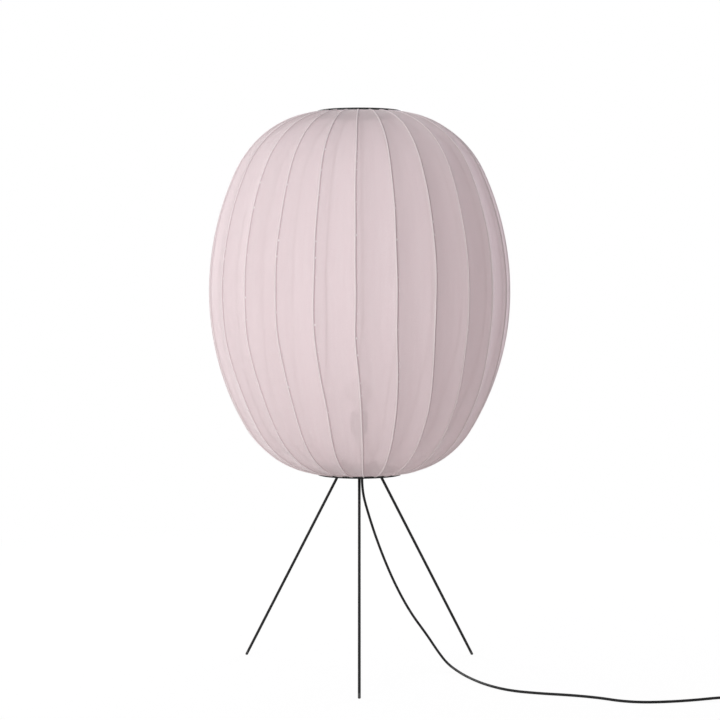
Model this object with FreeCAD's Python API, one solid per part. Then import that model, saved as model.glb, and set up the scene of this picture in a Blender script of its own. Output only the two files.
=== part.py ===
# Floor lamp with a knitted shade: three rod legs, a base plate, bowed ribs and a stretched knit cover.
# Millimetres, +Z up, origin on the floor under the middle of the lamp, front of the lamp towards -Y.
import FreeCAD, Part
import math
import os

# Fits shared by all pieces
fit_clearance = 0.05
loose_clearance = 0.3

# Stand
base_height = 418.7          # underside of the base plate above the floor
base_thickness = 2.3
plate_radius = 90.0          # base plate and top plate
leg_diameter = 6.0
leg_top_radius = 50.0        # where a leg's axis passes the underside of the base plate
foot_radius = 291.74         # where a leg's axis meets the floor
leg_names = ("front", "right", "left")    # evenly round the axis, anticlockwise from above
leg_insertion = 24.0         # length of a leg above the underside of the base plate
boss_diameter = 14.0
boss_end_wall = 4.0
set_screw_diameter = 4.0
set_screw_length = 5.0
set_screw_height = 16.0      # along the leg, from the underside of the base plate
tip_length = 8.0
tip_flat_radius = 2.0        # worn flat that stands on the floor
tip_spigot_diameter = 3.0
tip_spigot_length = 6.0

# Ribs and the rings that hold their ends
rib_count = 24
rib_diameter = 3.0
rib_phase = -1.5             # turn of the front rib away from the middle, degrees
rib_insertion = 11.0         # straight end of a rib, inside the end of the cover
ring_width = 18.5
ring_height = 11.0
ring_setback = 1.0           # rim of a plate outside its ring
collar_gap = 1.0             # end of the cover outside the rim of a plate
socket_wall = 1.0
ring_screw_count = 6
ring_screw_diameter = 3.0
ring_screw_head = 5.6
ring_screw_length = 8.0
top_thickness = 2.0
top_opening_radius = 64.0

# Form of the shade
shade_radius = 326.0         # outside, over a rib at the widest place
shade_height = 780.0         # between the base plate and the top plate
widest_height = 392.0        # above the base plate
upper_slope = 5.7            # of the ribs where they enter the rings, degrees
lower_slope = 6.2
upper_roundness = 0.935       # bend of the ribs near the rings, as a share of the shade's overhang there
lower_roundness = 0.879
knit_thickness = 0.9
rib_play = 0.5               # between a rib and the knit around it
panel_dip = 2.6              # hollow of the widest panel between two ribs
side_spans = 6               # lengths between the cover's sections, in each bend
shoulder_spans = 4

# Lampholder and its bracket
bracket_height = 76.0
bracket_width = 18.0
bracket_thickness = 2.0
bracket_span = 52.0          # outside, between the two uprights
bracket_foot = 16.0
bracket_bend = 3.0           # outer radius of the bends
bracket_screw_diameter = 4.0
bracket_screw_head = 7.5
bracket_screw_head_height = 2.6
bracket_screw_slot = 1.0
nipple_diameter = 10.0
nipple_bore = 6.6
nipple_length = 18.0
nut_width = 14.0             # across flats
nut_height = 3.5
cap_height = 15.0
cap_foot_radius = 9.0
cap_floor = 5.0
holder_radius = 19.0
holder_wall = 2.8
holder_height = 42.0
holder_chamfer = 0.7
carrier_height = 10.0
cap_rim = 5.0                # edge of the holder cap that carries the contact carrier
wire_hole_radius = 1.25
shell_radius = 14.3
shell_wall = 0.8
shell_height = 24.0
contact_radius = 4.0
contact_thickness = 1.2

# Bulb
bulb_cap_radius = 13.05
bulb_cap_length = 23.0
bulb_cap_wall = 1.0
bulb_tip_radius = 4.6
bulb_tip_height = 4.0
bulb_tip_edge = 1.3          # upright edge of the tip
bulb_spigot_length = 7.5     # of the housing, inside the cap
bulb_neck_length = 8.0       # straight part above the holder
bulb_flare_height = 28.0
bulb_radius = 30.0
bulb_rim_radius = 29.0
bulb_wall = 1.4

# Lead and strain relief
cord_diameter = 5.5
cord_exit_x = 6.0            # the lead leaves the base plate a little off the middle
arc_share = 0.45
grommet_drop = 8.7           # below the base plate
grommet_rise = 13.0          # above the base plate
grommet_flange_radius = 7.0
grommet_flange = 2.0
grommet_neck_radius = 5.0
grommet_tip_radius = 3.8
grommet_lip = 0.8            # snap lip that stands over the edge of the hole
lead_straight = 42.0         # of the inner lead, from its lower end

# Foot switch on the lead
switch_x = 772.0             # end of the housing where the lead comes in
switch_y = -308.0
switch_length = 70.0
switch_width = 36.0
switch_height = 22.0
switch_split = 9.5
switch_wall = 2.0
switch_corner = 10.0
switch_top_round = 4.0
switch_cord_height = 6.7
button_radius = 10.0
button_rise = 3.5
button_round = 1.2
button_travel = 2.5
button_flange = 1.5
button_flange_height = 1.5
button_stem_radius = 3.0
module_length = 26.0
module_width = 14.0
module_height = 8.0
sleeve_length = 22.0
sleeve_tip_radius = 3.9
sleeve_foot_radius = 5.4
sleeve_neck_radius = 4.1
sleeve_neck_inside = 3.0
cord_inside_switch = 12.0
switch_screw_diameter = 2.9
switch_screw_head = 5.4
switch_screw_head_height = 1.9
switch_screw_recess = 0.5
switch_screw_length = 14.0
switch_post_radius = 3.2
switch_post_x = 22.0
switch_post_y = 11.0

# Coil of the put-away lead, its tie and the plug
coil_half_turns = 5          # spiralling in, and as many again spiralling out on top
coil_climb_turns = 0.5       # where the coil climbs from the floor to the upper layer
coil_pitch = 6.2
coil_radius = 40.5           # of the outermost turn
coil_lead_in = 34.0
coil_lead_out = 36.0
tie_thickness = 0.8
tie_width = 9.0
tie_clearance = 0.4
tie_side_clearance = 0.9
tie_corner = 2.0
plug_sleeve_length = 25.0
plug_sleeve_tip_radius = 3.9
plug_sleeve_foot_radius = 5.6
plug_length = 38.0
plug_width = 26.0
plug_rear_width = 16.0
plug_thickness = 14.0
plug_taper_length = 14.0     # shoulder from the rear to the full width
plug_round = 3.0
pin_diameter = 4.0
pin_spacing = 19.0
pin_length = 19.0
pin_root = 8.0
pin_chamfer = 0.8

# Route of the lead from the base plate to the foot switch
cord_route = [
    (cord_exit_x, 0.0, base_height - grommet_drop), (cord_exit_x, 0.0, 382.0), (19.7, 6.0, 332.0),
    (36.5, 12.0, 279.5), (57.5, 17.0, 224.0), (82.0, 20.0, 169.0), (112.0, 21.0, 115.0),
    (147.0, 20.0, 68.0), (170.0, 12.0, 34.0), (190.0, -13.0, 12.0), (213.0, -55.0, 2.75),
    (232.0, -113.0, 2.75), (262.0, -178.0, 2.75), (304.0, -230.0, 2.75), (361.0, -256.0, 2.75),
    (428.0, -273.0, 2.75), (482.0, -297.0, 2.75), (520.0, -326.0, 2.75), (565.0, -337.0, 2.75),
    (620.0, -330.0, 2.75), (672.0, -315.0, 2.75), (728.0, switch_y, switch_cord_height),
    (switch_x + cord_inside_switch, switch_y, switch_cord_height),
]

vec = FreeCAD.Vector
up = vec(0, 0, 1)
axis_x = vec(1, 0, 0)


def export(shape, node):
    solids = shape.Solids
    if not shape.isValid() or not solids:
        raise ValueError(node + " is not a sound solid")
    if len(solids) == 1:
        shape = solids[0]
    shape.exportStep("parts/" + node + ".step")
    print(node, "solids", len(solids), "volume %.1f" % shape.Volume)


def unit(vector):
    return vector / vector.Length


def polar(radius, degrees, height=0.0):
    angle = math.radians(degrees)
    return vec(radius * math.cos(angle), radius * math.sin(angle), height)


def rod(start, end, radius):
    return Part.makeCylinder(radius, (end - start).Length, start, end - start)


def upright(radius, bottom, top, x=0.0, y=0.0):
    return Part.makeCylinder(radius, top - bottom, vec(x, y, bottom))


def cone(radius_low, radius_high, bottom, top, x=0.0, y=0.0):
    return Part.makeCone(radius_low, radius_high, top - bottom, vec(x, y, bottom))


def block(low, high):
    size = high - low
    return Part.makeBox(size.x, size.y, size.z, low)


def revolved(points):
    # a closed outline of (radius, height) points, turned about the upright axis
    corners = [vec(radius, 0, height) for radius, height in points]
    face = Part.Face(Part.makePolygon(corners + corners[:1]))
    return face.revolve(vec(0, 0, 0), up, 360)


def turned(shape, degrees):
    copy = shape.copy()
    copy.rotate(vec(0, 0, 0), up, degrees)
    return copy


def around(shape, angles):
    return Part.makeCompound([turned(shape, angle) for angle in angles])


# Heights of the stack, from the floor up
base_top = base_height + base_thickness
top_plate_bottom = base_top + shade_height
top_plate_top = top_plate_bottom + top_thickness
widest = base_top + widest_height
rib_radius = rib_diameter / 2
socket_radius = rib_radius + fit_clearance
ring_outer = plate_radius - ring_setback
ring_inner = ring_outer - ring_width
collar_radius = plate_radius + collar_gap
rib_end_radius = collar_radius - rib_insertion
rib_step = 360.0 / rib_count
rib_angles = [-90.0 + rib_phase + rib_step * number for number in range(rib_count)]
ring_screw_angles = [rib_angles[number * rib_count // ring_screw_count] + rib_step / 2
                     for number in range(ring_screw_count)]
ring_screw_circle = (ring_inner + ring_outer) / 2
channel_radius = rib_radius + rib_play + knit_thickness
rib_bow_radius = shade_radius - channel_radius


class HalfProfile:
    # One half of a rib's line, from the widest place to a ring, as two tangent bends.
    # side is 1 above the widest place and -1 below it.
    def __init__(self, side, plate_face, slope, roundness):
        self.side = side
        self.slope = math.radians(slope)
        inset = socket_wall + socket_radius
        self.end = vec(rib_end_radius, 0, plate_face - side * inset)
        self.collar = self.end + vec(rib_insertion, 0, -side * rib_insertion * math.tan(self.slope))
        rise = side * (self.collar.z - widest)
        shoulder = roundness * (rib_bow_radius - collar_radius)
        centre_r = collar_radius - shoulder * math.sin(self.slope)
        centre_z = rise - shoulder * math.cos(self.slope)
        offset = centre_r - rib_bow_radius
        self.shoulder = shoulder
        self.bow = (shoulder ** 2 - offset ** 2 - centre_z ** 2) / (2 * (offset + shoulder))
        self.bow_centre = (rib_bow_radius - self.bow, 0.0)
        self.shoulder_centre = (centre_r, centre_z)
        self.join = math.atan2(centre_z, centre_r - self.bow_centre[0])
        self.last = math.pi / 2 - self.slope

    def point(self, angle):
        # place and outward direction on the line where the outward direction rises by this angle
        centre = self.bow_centre if angle <= self.join else self.shoulder_centre
        radius = self.bow if angle <= self.join else self.shoulder
        outward = vec(math.cos(angle), 0, self.side * math.sin(angle))
        place = vec(centre[0], 0, widest + self.side * centre[1]) + outward * radius
        return place, outward

    def arc(self, first, last):
        middle = (first + last) / 2
        return Part.Arc(self.point(first)[0], self.point(middle)[0], self.point(last)[0]).toShape()

    def edges(self):
        # from the widest place to the end in the ring
        bow = self.arc(0.0, self.join)
        bend = self.arc(self.join, self.last)
        return [bow, bend, Part.LineSegment(self.point(self.last)[0], self.end).toShape()]

    def angles(self):
        bow = [self.join * step / side_spans for step in range(side_spans + 1)]
        turn = self.last - self.join
        return bow + [self.join + turn * step / shoulder_spans for step in range(1, shoulder_spans + 1)]


upper_half = HalfProfile(1, top_plate_bottom, upper_slope, upper_roundness)
lower_half = HalfProfile(-1, base_top, lower_slope, lower_roundness)


# Ribs: one bent rod, copied round the axis
def make_ribs():
    lower = lower_half.edges()
    upper = upper_half.edges()
    path = Part.Wire(lower[::-1] + upper)
    along = lower_half.collar - lower_half.end
    section = Part.Wire([Part.Circle(lower_half.end, along, rib_radius).toShape()])
    rib = path.makePipeShell([section], True, False)
    ratio = rib.Volume / (math.pi * rib_radius ** 2 * path.Length)
    print("rib volume over section times length %.4f" % ratio)
    return around(rib, rib_angles)


# Cover: each panel is drawn tight over two ribs and dips between them
def cover_section(place, outward):
    half_angle = math.radians(rib_step / 2)
    half_width = place.x * math.sin(half_angle)
    widest_half = rib_bow_radius * math.sin(half_angle)
    dip = panel_dip * half_width / widest_half
    reach = (half_width ** 2 + dip ** 2) / (2 * dip)
    origin = vec(place.x * math.cos(half_angle), 0, place.z)
    lean = -outward.x * math.tan(half_angle)
    apex = unit(vec(lean, 1, 0))
    pull = vec(half_width, reach - dip, 0) / reach
    between = unit(apex + pull)

    def at(u, v):
        return origin + vec(0, u, 0) + outward * v

    def row(radius):
        # over the left rib, across the panel, and mirrored over the right rib
        over_left = [at(way.x * radius - half_width, way.y * radius) for way in (apex, between, pull)]
        over_right = [at(half_width - way.x * radius, way.y * radius) for way in (pull, between, apex)]
        across = [over_left[2], at(0, radius - dip), over_right[0]]
        return Part.Wire([Part.Arc(*three).toShape() for three in (over_left, across, over_right)])

    return row(channel_radius), row(channel_radius - knit_thickness)


def hem_face(outer, inner):
    # the knit's thickness at an end of the cover
    ends = [Part.LineSegment(outer.discretize(2)[end], inner.discretize(2)[end]).toShape() for end in (0, 1)]
    return Part.Face(Part.Wire(Part.__sortEdges__(outer.Edges + inner.Edges + ends)))


def make_cover():
    stations = [lower_half.point(angle) for angle in lower_half.angles()[::-1]]
    stations += [upper_half.point(angle) for angle in upper_half.angles()[1:]]
    rows = [cover_section(*station) for station in stations]
    panel = [hem_face(*rows[0]), hem_face(*rows[-1])]
    for layer in zip(*rows):
        panel += Part.makeLoft(list(layer)).Faces
    faces = [turned(face, angle + rib_step / 2) for angle in rib_angles for face in panel]
    shell = Part.makeCompound(faces)
    shell.sewShape(fit_clearance / 10)
    cover = Part.makeSolid(shell.Shells[0])
    if cover.Volume < 0:
        cover.reverse()
    print("cover faces", len(cover.Faces), "closed", shell.Shells[0].isClosed())
    return cover


# Rings and plates
def ring_screw(face, inwards):
    # countersunk, flush with the outer face of its plate
    radius = ring_screw_diameter / 2
    head = ring_screw_head / 2
    depth = head - radius
    outline = [(0, 0), (head, 0), (radius, inwards * depth), (radius, inwards * ring_screw_length),
               (0, inwards * ring_screw_length)]
    screw = revolved(outline)
    screw.translate(vec(ring_screw_circle, 0, face))
    return around(screw, ring_screw_angles)


def ring_screw_holes(face, inwards):
    radius = ring_screw_diameter / 2 + fit_clearance
    head = ring_screw_head / 2 + fit_clearance
    depth = head - radius
    length = ring_screw_length + loose_clearance
    outline = [(0, 0), (head, 0), (radius, inwards * depth), (radius, inwards * length),
               (0, inwards * length)]
    hole = revolved(outline)
    hole.translate(vec(ring_screw_circle, 0, face))
    return around(hole, ring_screw_angles)


def make_rib_ring(half, plate_face, plate_outer_face):
    low = min(plate_face, plate_face - half.side * ring_height)
    ring = upright(ring_outer, low, low + ring_height).cut(upright(ring_inner, low, low + ring_height))
    direction = unit(half.end - half.collar)
    socket = rod(half.collar, half.end + direction * loose_clearance, socket_radius)
    ring = ring.cut(around(socket, rib_angles))
    return ring.cut(ring_screw_holes(plate_outer_face, -half.side))


def make_top_plate():
    plate = upright(plate_radius, top_plate_bottom, top_plate_top)
    plate = plate.cut(upright(top_opening_radius, top_plate_bottom, top_plate_top))
    return plate.cut(ring_screw_holes(top_plate_top, -1))


# Legs
class Leg:
    def __init__(self, angle):
        self.foot = polar(foot_radius, angle)
        self.crossing = polar(leg_top_radius, angle, base_height)
        self.along = unit(self.crossing - self.foot)
        self.outwards = polar(1.0, angle)
        self.radius = leg_diameter / 2
        self.top = self.crossing + self.along * leg_insertion
        ball_height = math.sqrt(self.radius ** 2 - tip_flat_radius ** 2)
        self.ball = self.foot + self.along * (ball_height / self.along.z)
        self.start = self.ball + self.along * tip_length
        self.square = unit(self.outwards - self.along * self.outwards.dot(self.along))
        leg_face = self.radius + fit_clearance
        self.screw_tip = self.crossing + self.along * set_screw_height + self.square * leg_face

    def rod(self):
        bore_end = self.start + self.along * (tip_spigot_length + loose_clearance)
        bore = rod(self.start, bore_end, tip_spigot_diameter / 2 + fit_clearance)
        return rod(self.start, self.top, self.radius).cut(bore)

    def tip(self):
        tip = Part.makeSphere(self.radius, self.ball).fuse(rod(self.ball, self.start, self.radius))
        spigot = rod(self.ball, self.start + self.along * tip_spigot_length, tip_spigot_diameter / 2)
        floor_cut = block(self.foot - vec(leg_diameter, leg_diameter, leg_diameter),
                          self.foot + vec(leg_diameter, leg_diameter, 0))
        return tip.fuse(spigot).cut(floor_cut).removeSplitter()

    def hole(self):
        return rod(self.foot, self.top + self.along * loose_clearance, self.radius + fit_clearance)

    def set_screw(self, clearance=0.0):
        end = self.screw_tip + self.square * set_screw_length
        return rod(self.screw_tip, end, set_screw_diameter / 2 + clearance)

    def boss(self):
        top = self.top + self.along * boss_end_wall
        body = rod(self.foot, top, boss_diameter / 2)
        reach = foot_radius + boss_diameter
        below = block(vec(-reach, -reach, -boss_diameter), vec(reach, reach, base_top))
        body = body.cut(below).cut(self.hole())
        return body.cut(self.set_screw(fit_clearance))


leg_step = 360.0 / len(leg_names)
legs = {name: Leg(-90.0 + leg_step * place) for place, name in enumerate(leg_names)}


def make_base_plate():
    plate = upright(plate_radius, base_height, base_top)
    for leg in legs.values():
        plate = plate.cut(leg.hole())
    plate = plate.cut(upright(grommet_neck_radius + fit_clearance, base_height, base_top, cord_exit_x))
    for side in (-1, 1):
        plate = plate.cut(upright(bracket_screw_diameter / 2 + fit_clearance, base_height, base_top,
                                  side * bracket_screw_x))
    return plate.cut(ring_screw_holes(base_height, 1))


# Lampholder
bracket_top = base_top + bracket_height
bracket_screw_x = bracket_span / 2 + (bracket_foot - bracket_thickness) / 2
cap_top = bracket_top + cap_height
carrier_top = cap_top + carrier_height
holder_top = cap_top + holder_height
holder_inner = holder_radius - holder_wall
nipple_bottom = bracket_top - bracket_thickness - nut_height - fit_clearance
bulb_bottom = carrier_top + contact_thickness + loose_clearance
bulb_cap_bottom = bulb_bottom + bulb_tip_height
bulb_cap_top = bulb_cap_bottom + bulb_cap_length
bulb_flare_bottom = max(bulb_cap_top, holder_top) + bulb_neck_length
bulb_rim = bulb_flare_bottom + bulb_flare_height


def make_bracket():
    # a strap bent up from one foot, across and down to the other
    half = bracket_span / 2
    thick = bracket_thickness
    foot = half + bracket_foot - thick
    corners = [(-foot, base_top), (-half + thick, base_top), (-half + thick, bracket_top - thick),
               (half - thick, bracket_top - thick), (half - thick, base_top), (foot, base_top),
               (foot, base_top + thick), (half, base_top + thick), (half, bracket_top),
               (-half, bracket_top), (-half, base_top + thick), (-foot, base_top + thick)]
    points = [vec(x, -bracket_width / 2, z) for x, z in corners]
    strap = Part.Face(Part.makePolygon(points + points[:1])).extrude(vec(0, bracket_width, 0))
    outside = []
    inside = []
    for edge in strap.Edges:
        ends = [vertex.Point for vertex in edge.Vertexes]
        if abs(ends[0].y - ends[1].y) < bracket_width / 2:
            continue
        x = abs(ends[0].x)
        z = ends[0].z
        outer_top = abs(x - half) < fit_clearance and abs(z - bracket_top) < fit_clearance
        inner_foot = abs(x - half + thick) < fit_clearance and abs(z - base_top) < fit_clearance
        inner_top = abs(x - half + thick) < fit_clearance and abs(z - bracket_top + thick) < fit_clearance
        outer_foot = abs(x - half) < fit_clearance and abs(z - base_top - thick) < fit_clearance
        if outer_top or inner_foot:
            outside.append(edge)
        if inner_top or outer_foot:
            inside.append(edge)
    strap = strap.makeFillet(bracket_bend, outside)
    inner_bend = bracket_bend - thick
    chosen = []
    for edge in strap.Edges:
        for old in inside:
            if (edge.CenterOfMass - old.CenterOfMass).Length < fit_clearance:
                chosen.append(edge)
    strap = strap.makeFillet(inner_bend, chosen)
    strap = strap.cut(upright(nipple_diameter / 2 + fit_clearance, bracket_top - 2 * thick, bracket_top))
    for side in (-1, 1):
        hole = upright(bracket_screw_diameter / 2 + fit_clearance, base_top, base_top + 2 * thick,
                       side * bracket_screw_x)
        strap = strap.cut(hole)
    return strap


def make_bracket_screws():
    seat = base_top + bracket_thickness
    screws = []
    for side in (-1, 1):
        x = side * bracket_screw_x
        shank = upright(bracket_screw_diameter / 2, base_height, seat, x)
        head = upright(bracket_screw_head / 2, seat, seat + bracket_screw_head_height, x)
        half_slot = vec(bracket_screw_head, bracket_screw_slot / 2, bracket_screw_head_height / 2)
        slot_middle = vec(x, 0, seat + bracket_screw_head_height)
        slot = block(slot_middle - half_slot, slot_middle + half_slot)
        screws.append(shank.fuse(head).removeSplitter().cut(slot))
    return Part.makeCompound(screws)


def make_nipple():
    top = nipple_bottom + nipple_length
    nipple = upright(nipple_diameter / 2, nipple_bottom, top)
    return nipple.cut(upright(nipple_bore / 2, nipple_bottom, top))


def make_nut():
    top = bracket_top - bracket_thickness
    corner = nut_width / math.sqrt(3)
    points = [polar(corner, 60.0 * number, top - nut_height) for number in range(7)]
    nut = Part.Face(Part.makePolygon(points)).extrude(up * nut_height)
    return nut.cut(upright(nipple_diameter / 2 + fit_clearance, top - nut_height, top))


def make_holder_cap():
    cap = cone(cap_foot_radius, holder_radius, bracket_top, cap_top)
    hollow = upright(holder_inner - cap_rim, bracket_top + cap_floor, cap_top)
    return cap.cut(hollow).cut(upright(nipple_diameter / 2 + fit_clearance, bracket_top, cap_top))


def make_holder_body():
    body = upright(holder_radius, cap_top, holder_top).cut(upright(holder_inner, cap_top, holder_top))
    rim = [edge for edge in body.Edges if abs(edge.CenterOfMass.z - holder_top) < fit_clearance]
    return body.makeChamfer(holder_chamfer, rim)


def make_carrier():
    carrier = upright(holder_inner - fit_clearance, cap_top, carrier_top)
    for side in (-1, 1):
        wire_x = side * (contact_radius + (shell_radius - shell_wall - contact_radius) / 2)
        carrier = carrier.cut(upright(wire_hole_radius, cap_top, carrier_top, wire_x))
    return carrier


def make_screw_shell():
    top = carrier_top + shell_height
    return upright(shell_radius, carrier_top, top).cut(upright(shell_radius - shell_wall, carrier_top, top))


def make_centre_contact():
    return upright(contact_radius, carrier_top, carrier_top + contact_thickness)


# Bulb
def make_bulb_contact():
    shoulder = bulb_bottom + bulb_tip_edge
    rim = bulb_cap_radius - bulb_cap_wall
    return revolved([(0, bulb_bottom), (bulb_tip_radius, bulb_bottom), (bulb_tip_radius, shoulder),
                     (rim, bulb_cap_bottom), (0, bulb_cap_bottom)])


def make_bulb_base():
    floor = bulb_cap_bottom + bulb_cap_wall
    inner = bulb_cap_radius - bulb_cap_wall
    body = upright(bulb_cap_radius, bulb_cap_bottom, bulb_cap_top)
    return body.cut(upright(inner, floor, bulb_cap_top))


def make_bulb_housing():
    spigot = bulb_cap_radius - bulb_cap_wall - fit_clearance
    neck = bulb_cap_radius
    spigot_bottom = bulb_cap_top - bulb_spigot_length
    wall = bulb_wall
    outline = [(spigot - wall, spigot_bottom), (spigot, spigot_bottom), (spigot, bulb_cap_top),
               (neck, bulb_cap_top), (neck, bulb_flare_bottom), (bulb_rim_radius, bulb_rim),
               (bulb_rim_radius - wall, bulb_rim), (neck - wall, bulb_flare_bottom + wall),
               (spigot - wall, bulb_cap_top)]
    return revolved(outline)


def make_bulb_globe():
    centre = bulb_rim + math.sqrt(bulb_radius ** 2 - bulb_rim_radius ** 2)
    globe = Part.makeSphere(bulb_radius, vec(0, 0, centre))
    globe = globe.cut(Part.makeSphere(bulb_radius - bulb_wall, vec(0, 0, centre)))
    below = upright(2 * bulb_radius, bulb_rim - 2 * bulb_radius, bulb_rim)
    return globe.cut(below)


# Lead
def tangent_arcs(points, label):
    # straight runs joined by arcs as large as the runs beside each corner allow
    edges = []
    radii = []
    start = points[0]
    for before, corner, after in zip(points, points[1:], points[2:]):
        into = corner - before
        onward = after - corner
        turn = into.getAngle(onward)
        reach = arc_share * min(into.Length, onward.Length)
        radius = reach / math.tan(turn / 2)
        first = corner - unit(into) * reach
        last = corner + unit(onward) * reach
        inside = unit((first + last) / 2 - corner)
        middle = corner + inside * (radius / math.cos(turn / 2) - radius)
        edges.append(Part.LineSegment(start, first).toShape())
        edges.append(Part.Arc(first, middle, last).toShape())
        radii.append(radius)
        start = last
    edges.append(Part.LineSegment(start, points[-1]).toShape())
    print(label, "radii", ["%.0f" % radius for radius in radii])
    return edges


def tube(edges, start, direction, label):
    path = Part.Wire(edges)
    section = Part.Wire([Part.Circle(start, direction, cord_diameter / 2).toShape()])
    solid = path.makePipeShell([section], True, False)
    ratio = solid.Volume / (math.pi * cord_diameter ** 2 / 4 * path.Length)
    print(label, "length %.1f" % path.Length, "volume over section times length %.4f" % ratio)
    return solid


def make_cord_drop():
    points = [vec(*point) for point in cord_route]
    return tube(tangent_arcs(points, "cord_drop"), points[0], points[1] - points[0], "cord_drop")


def make_inner_lead():
    bottom = base_height - grommet_drop
    nipple_top = nipple_bottom + nipple_length
    bend = bottom + lead_straight
    straight = (nipple_bottom + bend) / 2 + cord_diameter
    points = [vec(cord_exit_x, 0, bottom), vec(cord_exit_x, 0, bend)]
    points += [vec(0, 0, straight), vec(0, 0, nipple_top)]
    return tube(tangent_arcs(points, "inner_lead"), points[0], up, "inner_lead")


def make_grommet():
    flange_bottom = base_height - grommet_flange
    bottom = base_height - grommet_drop
    top = base_top + grommet_rise
    lip_top = base_top + grommet_lip + grommet_flange
    body = cone(grommet_tip_radius, grommet_neck_radius, bottom, flange_bottom, cord_exit_x)
    body = body.fuse(upright(grommet_flange_radius, flange_bottom, base_height, cord_exit_x))
    body = body.fuse(upright(grommet_neck_radius, base_height, base_top, cord_exit_x))
    lip = cone(grommet_neck_radius + grommet_lip, grommet_neck_radius, base_top, lip_top, cord_exit_x)
    body = body.fuse(lip)
    body = body.fuse(cone(grommet_neck_radius, grommet_tip_radius, lip_top, top, cord_exit_x))
    return body.removeSplitter().cut(upright(cord_diameter / 2 + fit_clearance, bottom, top, cord_exit_x))


# Foot switch
switch_end = switch_x + switch_length
switch_middle = switch_x + switch_length / 2
switch_inner_top = switch_height - switch_wall
switch_posts = [(switch_middle - switch_post_x, switch_y - switch_post_y),
                (switch_middle + switch_post_x, switch_y + switch_post_y)]


def rounded_block(low, high, corner):
    body = block(low, high)
    standing = [edge for edge in body.Edges if abs(edge.tangentAt(0).z) > 1 / 2]
    return body.makeFillet(corner, standing)


def switch_outer(bottom, top):
    low = vec(switch_x, switch_y - switch_width / 2, bottom)
    high = vec(switch_end, switch_y + switch_width / 2, top)
    return rounded_block(low, high, switch_corner)


def switch_cavity(bottom, top):
    wall = vec(switch_wall, switch_wall, 0)
    low = vec(switch_x, switch_y - switch_width / 2, bottom) + wall
    high = vec(switch_end, switch_y + switch_width / 2, top) - wall
    return rounded_block(low, high, switch_corner - switch_wall)


def sleeve_holes():
    start = vec(switch_x, switch_y, switch_cord_height)
    return rod(start, start + axis_x * switch_length, sleeve_neck_radius + fit_clearance)


def make_switch_base():
    base = switch_outer(0, switch_split).cut(switch_cavity(switch_wall, switch_split))
    for x, y in switch_posts:
        base = base.fuse(upright(switch_post_radius, switch_wall / 2, switch_split, x, y))
    base = base.removeSplitter().cut(sleeve_holes())
    seat = switch_screw_recess + switch_screw_head_height
    for x, y in switch_posts:
        base = base.cut(upright(switch_screw_diameter / 2 + fit_clearance, 0, switch_split, x, y))
        base = base.cut(upright(switch_screw_head / 2 + fit_clearance, 0, seat, x, y))
    return base


def make_switch_cover():
    cover = switch_outer(switch_split, switch_height)
    top_edges = [edge for edge in cover.Edges if abs(edge.CenterOfMass.z - switch_height) < fit_clearance]
    cover = cover.makeFillet(switch_top_round, top_edges)
    cover = cover.cut(switch_cavity(switch_split, switch_height - switch_top_round))
    under = switch_cavity(switch_split, switch_inner_top)
    tops = [edge for edge in under.Edges if abs(edge.CenterOfMass.z - switch_inner_top) < fit_clearance]
    cover = cover.cut(under.makeFillet(switch_top_round - switch_wall / 2, tops))
    for x, y in switch_posts:
        cover = cover.fuse(upright(switch_post_radius, switch_split, switch_height - switch_wall / 2, x, y))
    cover = cover.removeSplitter().cut(sleeve_holes())
    for x, y in switch_posts:
        top = switch_screw_recess + switch_screw_length + loose_clearance
        cover = cover.cut(upright(switch_screw_diameter / 2 + fit_clearance, switch_split, top, x, y))
    hole = upright(button_radius + loose_clearance, switch_split, switch_height, switch_middle, switch_y)
    return cover.cut(hole)


def make_switch_screws():
    screws = []
    for x, y in switch_posts:
        seat = switch_screw_recess + switch_screw_head_height
        head = upright(switch_screw_head / 2, switch_screw_recess, seat, x, y)
        shank = upright(switch_screw_diameter / 2, seat, switch_screw_recess + switch_screw_length, x, y)
        screws.append(head.fuse(shank).removeSplitter())
    return Part.makeCompound(screws)


def make_switch_module():
    low = vec(switch_middle - module_length / 2, switch_y - module_width / 2, switch_wall)
    high = vec(switch_middle + module_length / 2, switch_y + module_width / 2, switch_wall + module_height)
    return block(low, high)


def make_switch_button():
    top = switch_height + button_rise
    flange_top = switch_inner_top - loose_clearance
    flange_bottom = flange_top - button_flange_height
    stem_bottom = switch_wall + module_height + button_travel + loose_clearance
    head = upright(button_radius, flange_bottom, top, switch_middle, switch_y)
    rim = [edge for edge in head.Edges if abs(edge.CenterOfMass.z - top) < fit_clearance]
    button = head.makeFillet(button_round, rim[:1])
    flange = upright(button_radius + button_flange, flange_bottom, flange_top, switch_middle, switch_y)
    stem = upright(button_stem_radius, stem_bottom, flange_top, switch_middle, switch_y)
    return button.fuse(flange).fuse(stem).removeSplitter()


def make_sleeve(mouth, onward, length, tip_radius, housing_radius, neck_length, neck_radius):
    # a tapered sleeve that grows from its mouth towards the housing, with a neck into the housing's wall
    foot = mouth + onward * length
    body = Part.makeCone(tip_radius, housing_radius, length, mouth, onward)
    end = foot
    if neck_length > 0:
        end = foot + onward * neck_length
        body = body.fuse(rod(foot, end, neck_radius)).removeSplitter()
    return body.cut(rod(mouth, end, cord_diameter / 2 + fit_clearance))


def make_switch_sleeves():
    neck = switch_wall + sleeve_neck_inside
    sizes = (sleeve_length, sleeve_tip_radius, sleeve_foot_radius, neck, sleeve_neck_radius)
    mouth_in = vec(switch_x - sleeve_length, switch_y, switch_cord_height)
    mouth_out = vec(switch_end + sleeve_length, switch_y, switch_cord_height)
    sleeve_in = make_sleeve(mouth_in, axis_x, *sizes)
    return Part.makeCompound([sleeve_in, make_sleeve(mouth_out, -axis_x, *sizes)])


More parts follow.
